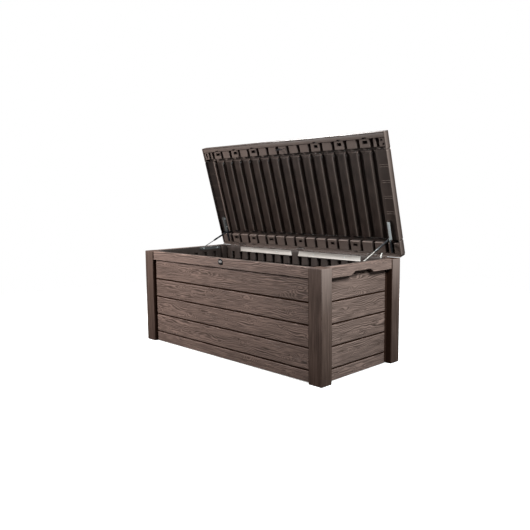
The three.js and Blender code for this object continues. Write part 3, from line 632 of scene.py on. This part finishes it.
def make_post(name, sign_x, sign_y, seed):
    """A post with a fine upright grain, with painted shade low down, on its top and on its inner faces, and a
    painted highlight high on its end face.
    """
    low, high = (np.array(corner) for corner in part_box(name))
    middle = (low + high) / 2
    half_x, half_y = (high - low)[:2] / 2
    height = high[2]
    levels = [(0, 0.0012), (0.0012, 0)]
    levels += [(z, 0) for z in np.linspace(0.008, height - 0.008, 75)]
    levels += [(height - 0.0025, 0), (height - 0.0007, 0.0007), (height, 0.0025)]
    rings, grains, edges, locals_ = [], [], [], []
    for z, inset in levels:
        points, normals = post_ring(half_x, half_y, inset)
        x, y = points[:, 0], points[:, 1]
        walk = np.concatenate([[0], np.cumsum(np.linalg.norm(np.diff(points, axis=0), axis=1))])
        grain = noise(np.full_like(walk, z / 0.11), walk / 0.0045, seed) * 0.6
        grain += noise(np.full_like(walk, z / 0.05), walk / 0.0023, seed + 1) * 0.4
        outer = (x > half_x - 0.004) | (y > half_y - 0.004)
        sunk = 0.0004 * (1 - grain) * outer
        flat = (points - normals * sunk[:, None]) * [sign_x, sign_y] + middle[:2]

        inner_x, inner_y = x < 0.002 - half_x, y < 0.002 - half_y
        beside_long = between(flat[:, 1], LONG["plank"] - 0.005, LONG["rail"])
        beside_end = between(flat[:, 0], END["plank"] - 0.005, END["rail"])
        hidden = (beside_long & inner_x) | (beside_end & inner_y)
        # Painted shade, darker towards the ground, and a painted highlight high on the end face.
        tone = np.interp(z, [0.05, 0.30, 0.58], [-0.42, -0.16, 0.05]) * np.ones(len(flat))
        tone = tone + np.interp(z, [0.26, 0.58], [0, 0.42]) * (x > half_x - 0.003)
        # Painted shade on the faces turned inwards.
        if z < RIM_Z - 0.004:
            tone = np.where(inner_x | inner_y, -0.6, tone)
        # Painted shade on the top, darker on the back posts.
        if z > height - 0.0010:
            tone = np.full(len(flat), -0.75 if sign_y > 0 else -0.3)
        # Painted shade on the faces in the recess beside the planks.
        edges.append(np.where(hidden & (z < RAIL_Z), PAINTED_SHADE, tone))
        rings.append(np.column_stack([flat, np.full(len(flat), z)]))
        grains.append(grain)
        locals_.append(np.column_stack([np.full(len(flat), z), walk + seed, walk * 0]))
    body = loft(rings, np.concatenate(grains), np.concatenate(locals_), np.concatenate(edges))
    skin = piece(f"{name}_skin", [body], [POST_SKIN, LINING], "box", [name])
    for face in skin.data.polygons:
        if abs(face.center.x) < END["inner"] and abs(face.center.y) < LONG["inner"]:
            face.material_index = 1


for number, (sign_x, sign_y) in enumerate([(-1, -1), (1, -1), (-1, 1), (1, 1)]):
    side = "right" if sign_x > 0 else "left"
    end = "back" if sign_y > 0 else "front"
    make_post(f"post_{end}_{side}", sign_x, sign_y, 50 + number * 7)


# ---- lid ----
def on_lid(u, v, w):
    """From the closed lid's own coordinates to the rest position."""
    cos, sin = math.cos(LID_OPEN), math.sin(LID_OPEN)
    return u, HINGE.y + v * cos + w * sin, HINGE.z - v * sin + w * cos


def plateau(distance, half, rounding=0.0016, wall=0.0007):
    """1 on a raised pad, 0 off it, with a rounded shoulder."""
    places = [half - rounding, half - 0.0005, half, half + wall]
    return np.interp(np.abs(distance), places, [1, 0.965, 0.9, 0])


def pad_edges(half):
    return mirrored(half - 0.0016, half - 0.0005, half, half + 0.0007)


def span(low, high):
    """The middle and half width of a range."""
    return (low + high) / 2, (high - low) / 2


def band(values, low, high, **shape):
    middle, half = span(low, high)
    return plateau(values - middle, half, **shape)


def band_edges(low, high):
    middle, half = span(low, high)
    return [middle + edge for edge in pad_edges(half)]


def squeeze(u, v, joints):
    """Moves the lid's side edges inwards in a small V where two mouldings meet, and at the rear corners."""
    nick = np.zeros_like(u)
    for joint in joints:
        nick = np.maximum(nick, np.interp(np.abs(v - joint), [0, 0.006], [0.005, 0]))
    nick = np.maximum(nick, np.interp(v, [LID_REAR - 0.012, LID_REAR], [0, 0.012]))
    share = np.interp(np.abs(u), [LID_HALF - 0.004, LID_HALF], [0, 1])
    return u - np.sign(u) * nick * share


def lid_skin(x, y, grooves, seed, upright=False):
    """The lid's top skin over a range, with grooved planks. The grain runs along x, or y where upright."""
    joints = (FRONT_JOINT, REAR_JOINT)

    def surface(u, v):
        plank = np.searchsorted(np.array([FRONT_JOINT, *grooves, REAR_JOINT]), v)
        along, across = (v, u) if upright else (u, v)
        grain = wood(along, across, 9 if upright else plank, seed)
        gap = np.full_like(u, 1.0)
        for groove in grooves:
            gap = np.minimum(gap, np.abs(v - groove))
        rim = np.minimum(np.minimum(u - x[0], x[1] - u), np.minimum(v - y[0], y[1] - v))
        down = np.interp(gap, *GROOVE) * 0.9
        down = np.maximum(down, np.interp(rim, [0, 0.0006, 0.002, 0.005], [0.0032, 0.0016, 0.0005, 0]))
        flat = np.interp(down, [0, 0.0004], [1, 0])
        # Painted shade in the grooves with highlights on their bevels, and a painted highlight along the
        # skin's rim.
        edge = groove_painted_light(gap, gap > 0) + np.interp(rim, [0.001, 0.004], [0.3, 0]) * (gap > 0.01)
        return {"u": squeeze(u, v, joints), "w": LID_TOP - down - RELIEF * (1 - grain) * flat, "grain": grain,
                "edge": edge, "along": along + plank * 0.61, "over": across}

    fine, coarse = 0.0021, 0.0065
    steps = (fine, coarse) if upright else (coarse, fine)
    u = lines([(*x, steps[0])], *around(x, -0.005, -0.004, -0.002, -0.0006, 0.0006, 0.002, 0.004, 0.005))
    v = lines([(*y, steps[1])], *around(grooves, *PLANK_EDGES),
              *around(y, -0.012, -0.006, -0.005, -0.002, -0.0006, 0.0006, 0.002, 0.005, 0.006, 0.012))
    return slab(u, v, surface, LID_TOP - 0.0038, on_lid)


PAD_CENTRES = np.arange(-7, 8) * PAD_PITCH
# The corner blocks and the narrow pads beside them, as ranges of |u|.
CORNER = (0.727, 0.771)
NARROW = (0.6895, 0.7055)
# The clip holes in the pads: their half width and place on a pad, and their ranges of v.
HOLE = {"half": 0.0135, "off": 0.005}
FRONT_HOLE = (-0.671, -0.654)
REAR_HOLE = (-0.060, -0.044)
REAR_EYE = (-0.0115, -0.006)
# Single slots in the front corner blocks: u from, u to, v from, v to.
FRONT_SLOTS = (
    (-0.755, -0.743, -0.672, -0.642),
    (0.738, 0.745, -0.672, -0.664),
    (0.753, 0.760, -0.650, -0.642),
)
LIP_NOTCH = (-0.6905, -0.684)
HOLE_DEPTH = 0.018
# The side skirt and the painted highlight along its arris, as distances in from the lid's side.
SKIRT = 0.0042
ARRIS_WIDTH = 0.0006
CRISP = 0.0004


def nearest_pad(u):
    number = np.clip(np.round(u / PAD_PITCH), -7, 7)
    return number, u - number * PAD_PITCH


def pad_lines():
    holes = [HOLE["off"] + edge for edge in pad_edges(HOLE["half"])]
    shape = around(PAD_CENTRES, *pad_edges(PAD_HALF), *holes, -0.020, 0.0)
    for low, high in (CORNER, NARROW):
        shape += band_edges(low, high) + band_edges(-high, -low)
    return shape + mirrored(0.7705, 0.771)


def pad_field(u, v, rows):
    """The raised pads of a beam: a row of broad ones, a narrow one at each end and the corner blocks."""
    number, off = nearest_pad(u)
    broad = plateau(off, PAD_HALF)
    ends = band(np.abs(u), *NARROW)
    corner = band(np.abs(u), *CORNER)
    return number, off, np.maximum(np.maximum(broad * (np.abs(u) < 0.68), ends), corner) * band(v, *rows)


def hole(number, off, v, where, low, high):
    across = plateau(off - HOLE["off"], HOLE["half"], CRISP)
    return np.isin(number, where) * across * band(v, low, high, rounding=CRISP)


def slotted(u, v, low_u, high_u, low_v, high_v):
    return band(u, low_u, high_u, rounding=CRISP) * band(v, low_v, high_v, rounding=CRISP)


FRONT_LIP = ((-0.7105, -0.710, -0.6845, -0.6835, -0.683), (0.004, 0, 0, 0.0012, 0.032))


def front_underside(u, v):
    """The front beam from below: pads with clip holes behind a flat lip, which is notched over the holes."""
    number, off, pads = pad_field(u, v, FRONT_PADS)
    holes = hole(number, off, v, HOLED_FRONT, *FRONT_HOLE)
    for place in FRONT_SLOTS:
        holes = np.maximum(holes, slotted(u, v, *place))
    w = LID_FLOOR - (LID_FLOOR - PAD_Z) * pads + HOLE_DEPTH * holes
    notch = hole(number, off, v, HOLED_FRONT, *LIP_NOTCH)
    lip = np.where(v < -0.7104, LID_SKIRT, np.interp(v, *FRONT_LIP) - 0.001) + 0.009 * notch
    w = np.where(v < -0.6831, np.minimum(w, lip), w)
    w = np.where(np.abs(u) > LID_HALF - SKIRT, LID_SKIRT, w)
    # Painted highlights on the pads, the lip, the strip by the joint and the arris, less in the lip's
    # notches, and painted shade in the clip holes.
    tone = np.where(v < -0.6842, 0.21 - 0.20 * notch, 0.25 * pads * (1 - 1.9 * (holes > 0)))
    tone = np.where(v > FRONT_JOINT - 0.0155, 0.2, tone)
    edge = np.where(np.abs(u) > LID_HALF - ARRIS_WIDTH, 0.3, tone)
    return {"u": squeeze(u, v, (FRONT_JOINT,)), "w": w, "edge": edge}


def rear_underside(u, v):
    """The rear beam from below: pads, the strip behind them, the fascia, and room for the hinge lugs."""
    number, off, pads = pad_field(u, v, REAR_PADS)
    lip = band(v, REAR_PADS[0], REAR_PADS[0] + 0.0035, rounding=0.0005)
    holes = hole(number, off, v, HOLED_REAR, *REAR_HOLE)
    w = LID_FLOOR - (LID_FLOOR - PAD_Z) * pads - 0.0015 * lip * pads + HOLE_DEPTH * holes
    strip = -0.001 + 0.012 * hole(number, off, v, (-7, -5, 5, 7), *REAR_EYE)
    w = np.where(v > -0.0132, strip, w)
    fascia = np.where(np.abs(u) > POST_INNER, FASCIA_OVER_POST, FASCIA_LOW)
    w = np.where(v > LID_REAR - 0.0038, fascia, w)
    w = np.where((np.abs(u) > LID_HALF - SKIRT) & (v < LID_REAR - 0.0038), LID_SKIRT, w)
    for x in HINGES_X:
        cleared = (np.abs(u - x) < HINGE_LUG["half"] + 0.0005) & (v > -0.0112)
        w = np.where(cleared, 0.0115, w)
    # Painted highlights on the pads, the lip along their front, the strip behind them and the arris, and
    # painted shade in the clip holes.
    tone = 0.21 * pads * (1 - 1.9 * (holes > 0)) + 0.3 * lip * pads
    tone = np.where(v > -0.0132, 0.16, tone)
    edge = np.where(np.abs(u) > LID_HALF - ARRIS_WIDTH, 0.3, tone)
    return {"u": squeeze(u, v, (REAR_JOINT,)), "w": w, "edge": edge}


PANEL_FLOOR = 0.0325
RIB = ((0.0225, 0.0240, 0.0255, 0.0270, 0.032), (0.94, 1.0, 1.0, 0.9, 0))
RIB_ENDS = (
    (-0.6158, -0.6150, -0.6070, -0.6064, -0.6020, -0.6014, -0.1110, -0.1050, -0.0975),
    (0, 0.42, 0.42, 0.75, 0.75, 1, 1, 0.93, 0),
)
RIB_GLINT = ((0.0215, 0.0240, 0.0262, 0.0272), (0, 0.26, 0.26, 0))


def panel_underside(u, v):
    """The lid panel from below: deep flutes that step down towards the front beam."""
    _, off = nearest_pad(u)
    rib = np.interp(np.abs(off), *RIB) * np.interp(v, *RIB_ENDS)
    # Painted highlight on one shoulder of each rib and at the step near the front, and a little painted light
    # in the valleys.
    edge = np.interp(off, *RIB_GLINT) + 0.09 * (np.abs(off) > 0.0272) * (v > -0.6010)
    edge = edge + 0.2 * (v < -0.6066) * (v > -0.6148)
    return {"w": PANEL_FLOOR - (PANEL_FLOOR - RIB_Z) * rib, "edge": edge}


# Across a side frame: the lip along the panel, the band and the skirt, then the rib behind the strut's plate.
SIDE_BAND = (
    (0.6903, 0.6915, 0.6955, 0.6965, 0.7705, 0.7709),
    (BAND_Z + 0.001, BAND_Z - 0.0012, BAND_Z - 0.0012, BAND_Z, BAND_Z, LID_SKIRT),
)
SIDE_RIB = ((0.7117, 0.7120, 0.7220, 0.7223), (0, 1, 1, 0))
RIDGE_OFF = 0.006


def side_underside(u, v):
    """A side frame from below: pairs of fine ridges at the pads' pitch. The left one is darkened with painted
    shade, and the right one lightened with painted highlights.
    """
    x = np.abs(u)
    step = np.mod(v - FRONT_JOINT + PAD_PITCH / 2, PAD_PITCH) - PAD_PITCH / 2
    ridge = np.interp(np.abs(np.abs(step) - RIDGE_OFF), [0.0012, 0.002], [1, 0])
    ridge = ridge * (v < RIB_FROM) * (v > FRONT_JOINT + 0.02)
    rib = np.interp(x, *SIDE_RIB) * np.interp(v, [RIB_FROM - 0.0005, RIB_FROM], [0, 1])
    w = np.interp(x, *SIDE_BAND) - 0.0028 * ridge * ((x > 0.7119) & (x < 0.7703)) - 0.013 * rib
    # Painted shade on the left frame with highlights on its ridges, and painted highlights on the right one,
    # on the lip along the panel, stronger on the left, and on the arris.
    tone = np.where(u < 0, 0.55 * ridge - 0.5, 0.3 * ridge + 0.06)
    tone = np.where(x < 0.6966, 0.23 - 0.15 * np.sign(u), tone)
    return {"u": squeeze(u, v, (FRONT_JOINT, REAR_JOINT)), "w": w, "edge": np.where(x < 0.7710, tone, 0.3)}


LINING_BACK = LID_TOP - 0.0037
lid_top_grooves = [FRONT_JOINT + (REAR_JOINT - FRONT_JOINT) * i / 5 for i in range(1, 5)]

beam_x = (-LID_HALF, LID_HALF)
front_y = (LID_FRONT, FRONT_JOINT - SEAM)
rear_y = (REAR_JOINT + SEAM, LID_REAR)
panel_y = (FRONT_JOINT + SEAM, REAR_JOINT - SEAM)
panel_x = (-PANEL_HALF, PANEL_HALF)


def lid_piece(name, parts, kinds):
    piece(f"{name}_skin", parts, [LID_SKIN, LID_LINING], "lid", [name], kinds)


corner_lines, slot_lines = [], []
for low_u, high_u, low_v, high_v in FRONT_SLOTS:
    corner_lines += band_edges(low_u, high_u)
    slot_lines += band_edges(low_v, high_v)
skirt_lines = mirrored(LID_HALF - SKIRT - 0.0001, LID_HALF - SKIRT + 0.0001)
front_lines = lines([(*front_y, 0.012)], -0.7126, -0.7124, -0.7105, -0.7103, -0.6845, -0.6835, -0.6832,
                    -0.6829, *around((-0.6873,), *pad_edges(0.00325)), *band_edges(*FRONT_PADS),
                    *band_edges(*FRONT_HOLE), *slot_lines, FRONT_JOINT - 0.006)
front_x_lines = lines([(*beam_x, 0.02)], *pad_lines(), *corner_lines, *skirt_lines)
lid_piece("lid_front_beam", [
    lid_skin(beam_x, front_y, (), 61),
    slab(front_x_lines, front_lines, front_underside, LINING_BACK, on_lid),
], [0, 1])

rear_lines = lines([(*rear_y, 0.012)], *band_edges(*REAR_PADS), REAR_PADS[0] + 0.0030, REAR_PADS[0] + 0.0042,
                   *band_edges(*REAR_HOLE), *band_edges(*REAR_EYE), -0.0133, -0.0131, -0.0113, -0.0111,
                   LID_REAR - 0.0039, LID_REAR - 0.0037, LID_REAR - 0.012, REAR_JOINT + 0.006)
rear_x_lines = lines([(*beam_x, 0.02)], *pad_lines(), *around(HINGES_X, *mirrored(0.0204, 0.0206)),
                     *around((-POST_INNER, POST_INNER), -0.0002, 0.0002), *skirt_lines)
knuckles = []
for x in HINGES_X:
    knuckles.append(barrel(x - HINGE_LUG["pin_half"], x - HINGE_LUG["clear"]))
    knuckles.append(barrel(x + HINGE_LUG["clear"], x + HINGE_LUG["pin_half"]))
lid_piece("lid_rear_beam", [
    lid_skin(beam_x, rear_y, (), 67),
    slab(rear_x_lines, rear_lines, rear_underside, LINING_BACK, on_lid),
    *knuckles,
], [0, 1] + [1] * len(knuckles))

panel_lines = lines([(*panel_y, 0.03)], *RIB_ENDS[0])
rib_lines = lines([(*panel_x, 0.03)], *around(PAD_CENTRES, *mirrored(0.011, *RIB[0]), 0))
lid_piece("lid_panel", [
    lid_skin(panel_x, panel_y, lid_top_grooves, 71),
    slab(rib_lines, panel_lines, panel_underside, LINING_BACK, on_lid),
], [0, 1])

ridges = [FRONT_JOINT + PAD_PITCH * i + side * RIDGE_OFF for i in range(7) for side in (-1, 1)]
side_lines = lines([(*panel_y, 0.03)], *around(ridges, *mirrored(0.0012, 0.002)), RIB_FROM - 0.0005, RIB_FROM,
                   panel_y[0] + 0.006, panel_y[1] - 0.006)
for label, sign in (("left", -1), ("right", 1)):
    x_range = sorted((sign * (PANEL_HALF + 0.0003), sign * LID_HALF))
    across = lines([(*x_range, 0.03)], *[sign * mark for mark in (*SIDE_BAND[0], *SIDE_RIB[0], 0.7701)])
    lid_piece(f"lid_side_frame_{label}", [
        lid_skin(x_range, panel_y, (), 73 + sign, upright=True),
        slab(across, side_lines, side_underside, LINING_BACK, on_lid),
    ], [0, 1])

refined("corner_hook_moulded", "corner_hook", WHITE_PLASTIC, "box", 0.0006)
refined("lid_catch_loop", "lid_catch", BLACK, "lid", 0.0008)

# ---- floor ----
for name in ("floor_panel_left", "floor_panel_right", "floor_beam"):
    refined(f"{name}_moulding", name, FLOOR_RESIN, "box", 0.0008, 2)

# ---- steel fittings ----
lid_rearwards = Vector((0, math.cos(LID_OPEN), -math.sin(LID_OPEN)))
# Past LEG_FROM the lid plate is black enamel, which stands for the shade on its lower end: painted shade.
leg = (Vector(on_lid(0, LEG_FROM, 0)), lid_rearwards, BLACK)
# The left side's plates take the dark zinc copy, which is painted shade.
for label, plating in (("left", SHADED_ZINC), ("right", ZINC)):
    bar, wall_plate, lid_plate = f"rim_bar_{label}", f"strut_wall_plate_{label}", f"strut_lid_plate_{label}"
    refined(f"{bar}_steel", bar, GALVANISED, "box", 0.0005)
    refined(f"{wall_plate}_steel", wall_plate, plating, "box", 0.0005)
    refined(f"{lid_plate}_steel", lid_plate, plating, "lid", 0.0005, beyond=leg)

# Profiles to turn are (distance along the axis, radius). This one is a domed screw with a driving recess.
SCREW = (
    (0.0012, 0.0004), (0.0011, 0.0014), (0.0002, 0.0018), (0.0001, 0.0024), (0.0003, 0.0033),
    (0.0009, 0.0039), (0.0014, 0.0044), (0.0018, 0.0045), (0.0019, 0.0020), (0.0118, 0.0018),
)


def screw(name, body, direction):
    """A screw in its CAD box. direction points out of the head."""
    low, high = (Vector(corner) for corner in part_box(name))
    axis = Vector(direction)
    head = (low + high) / 2 + axis * (SCREW[-1][0] / 2)
    piece(f"{name}_turned", [lathe(SCREW, head, -axis, 32)], [ZINC], body, [name])


for label, sign in (("left", -1), ("right", 1)):
    for number in (1, 2):
        screw(f"rim_bar_screw_{label}_{number}", "box", (0, -1, 0))
        screw(f"strut_wall_screw_{label}_{number}", "box", (-sign, 0, 0))
        screw(f"strut_lid_screw_{label}_{number}", "lid", (-sign, 0, 0))

for label, x in zip(("left", "centre", "right"), HINGES_X):
    pin = barrel(x - HINGE_LUG["pin_half"], x + HINGE_LUG["pin_half"], HINGE_LUG["pin"])
    piece(f"hinge_pin_{label}_turned", [pin], [ZINC], "box", [f"hinge_pin_{label}"])

# ---- gas struts ----
EYE = ((0, 0.003), (0, 0.0055), (0.0006, 0.0065), (0.0040, 0.0065), (0.0046, 0.0055), (0.0046, 0.003))
ROD_FOOT = (
    (0.004, 0.0036), (0.016, 0.0036), (0.0165, 0.0042), (0.019, 0.0042), (0.0195, STRUT["rod_radius"]),
)
TUBE = (
    (0, 0.0037), (0, 0.0050), (0.0010, 0.0057), (0.0022, 0.0057), (0.0030, 0.0053), (0.0042, 0.0053),
    (0.0052, STRUT["tube_radius"]), (STRUT["tube"] - 0.018, STRUT["tube_radius"]),
    (STRUT["tube"] - 0.015, 0.0054), (STRUT["tube"] - 0.0125, 0.0040), (STRUT["tube"] - 0.004, 0.0036),
)


def eye(centre):
    """The end fitting's round eye, lying across the strut."""
    return lathe(EYE, (centre[0] - EYE[-1][0] / 2, centre[1], centre[2]), (1, 0, 0))


# The left rod takes the dark zinc copy, which is painted shade.
for label, rod_finish, tube_finish in (("left", SHADED_ZINC, BLACK), ("right", ROD_STEEL, GLOSS_BLACK)):
    low_pivot = Vector(JOINTS[f"strut_pivot_{label}"]["pos_m"])
    along = Vector(JOINTS[f"strut_slide_{label}"]["axis"]).normalized()
    length = (Vector(on_lid(low_pivot.x, *STRUT["lid_end"])) - low_pivot).length
    rod = [*ROD_FOOT, (length - STRUT["tube"] + STRUT["in_tube"], STRUT["rod_radius"])]
    foot = low_pivot + along * (length - STRUT["tube"])
    name = f"strut_rod_{label}"
    piece(f"{name}_turned", [eye(low_pivot), lathe(rod, low_pivot, along)], [rod_finish],
          name, [name])
    name = f"strut_tube_{label}"
    piece(f"{name}_turned", [lathe(TUBE, foot, along), eye(low_pivot + along * length)], [tube_finish],
          name, [name])

# ---- lock ----
refined("lock_escutcheon_ring", "lock_escutcheon", BLACK, "box", 0.0009)
refined("lock_plug_face", "lock_plug", BLACK, "lock", 0.0004)

# The two bright lands beside the key slot: an arc closed by three points, seen from the front. They rise from
# the plug's face by these steps of (height, scale).
ARC = np.linspace(-0.60, 0.60, 13)
LAND = np.vstack([np.column_stack([np.cos(ARC), np.sin(ARC)]) * 0.0112,
                  [(0.0050, 0.0062), (0.0029, 0), (0.0050, -0.0062)]])
LAND_STEPS = ((-0.0006, 1), (0.0003, 1), (0.0006, 0.95))
plug_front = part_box("lock_plug")[0][1]
lands = []
for sign in (-1, 1):
    x, z = (LAND * [sign, 1]).T
    lands.append(loft([
        np.column_stack([x * scale, np.full(len(x), plug_front - height), LOCK_AXIS.z + z * scale])
        for height, scale in LAND_STEPS
    ]))
piece("lock_plug_lands", lands, [CHROME], "lock", [])
refined("lock_cam_plate", "lock_cam", ZINC, "lock", 0.0004)

# ---- stage ----
scene = bpy.context.scene
scene.view_settings.view_transform = "Standard"

# The camera's azimuth, elevation and roll in degrees, its lens in mm and its place.
CAMERA = {"turn": (45.593, 6.626, -0.5487), "lens": 41.02, "place": (2.6703, -2.5926, 0.9640)}


def aim(azimuth, elevation, roll):
    a, e, r = (math.radians(angle) for angle in (azimuth, elevation, roll))
    ahead = Vector((-math.sin(a) * math.cos(e), math.cos(a) * math.cos(e), -math.sin(e)))
    right = ahead.cross(Vector((0, 0, 1))).normalized()
    up = right.cross(ahead)
    x_axis = right * math.cos(r) + up * math.sin(r)
    y_axis = up * math.cos(r) - right * math.sin(r)
    return Matrix((x_axis, y_axis, -ahead)).transposed().to_4x4()


lens = bpy.data.cameras.new("camera")
lens.lens = CAMERA["lens"]
lens.sensor_width = 36
lens.clip_end = 100
camera = bpy.data.objects.new("camera", lens)
camera.matrix_world = Matrix.Translation(CAMERA["place"]) @ aim(*CAMERA["turn"])
scene.collection.objects.link(camera)
scene.camera = camera


# Name, place, target, size, power and colour.
LIGHTS = (
    ("key", (-1.3, -1.75, 1.85), (-0.45, -0.3, 0.5), 0.9, 73, (1, 0.97, 0.95)),
    ("side", (2.1, -0.25, 1.95), (0.75, -0.15, 0.55), 0.8, 72, (0.92, 1, 1.02)),
    ("overhead", (0, 0.2, 4.2), (0, 0, 0.0), 3.6, 170, (1, 1, 1)),
    ("back", (-1.8, 2.6, 2.2), (-0.1, 0.4, 0.5), 1.2, 50, (1, 1, 1)),
)
for name, place, target, size, power, colour in LIGHTS:
    lamp = bpy.data.lights.new(name, "AREA")
    lamp.shape = "DISK"
    lamp.size = size
    lamp.energy = power
    lamp.color = colour
    light = bpy.data.objects.new(name, lamp)
    light.location = place
    light.rotation_euler = (Vector(target) - Vector(place)).to_track_quat("-Z", "Y").to_euler()
    scene.collection.objects.link(light)

world = bpy.data.worlds.new("studio")
world.use_nodes = True
sky = world.node_tree
seen = node(sky, "ShaderNodeLightPath").outputs["Is Camera Ray"]
sky.links.new(ranged(sky, seen, to_low=0.06), sky.nodes["Background"].inputs["Strength"])
sky.nodes["Background"].inputs["Color"].default_value = (1, 1, 1, 1)
scene.world = world

# The studio floor is pale to the camera and dark to the object, and fades out between these two radii.
FLOOR = {"radius": 4.0, "solid": 1.4, "gone": 3.4}
disc = bmesh.new()
bmesh.ops.create_circle(disc, cap_ends=True, segments=96, radius=FLOOR["radius"])
floor_mesh = bpy.data.meshes.new("studio_floor")
disc.to_mesh(floor_mesh)
disc.free()
floor_finish, tree, shader = blank("studio_floor")
direct = node(tree, "ShaderNodeLightPath").outputs["Is Camera Ray"]
tree.links.new(mix(tree, direct, (0.1, 0.1, 0.1, 1), (0.95, 0.95, 0.95, 1)), shader.inputs["Base Color"])
tree.links.new(ranged(tree, direct, to_high=0.5), shader.inputs["Emission Strength"])
shader.inputs["Emission Color"].default_value = (1, 1, 1, 1)
shader.inputs["Roughness"].default_value = 0.9
where = node(tree, "ShaderNodeTexCoord").outputs["Object"]
distance = node(tree, "ShaderNodeVectorMath", {0: where}, operation="LENGTH").outputs["Value"]
fade = ranged(tree, distance, FLOOR["solid"], FLOOR["gone"], 1.0, 0.0)
tree.links.new(fade, shader.inputs["Alpha"])
floor_mesh.materials.append(floor_finish)
floor = bpy.data.objects.new("studio_floor", floor_mesh)
scene.collection.objects.link(floor)
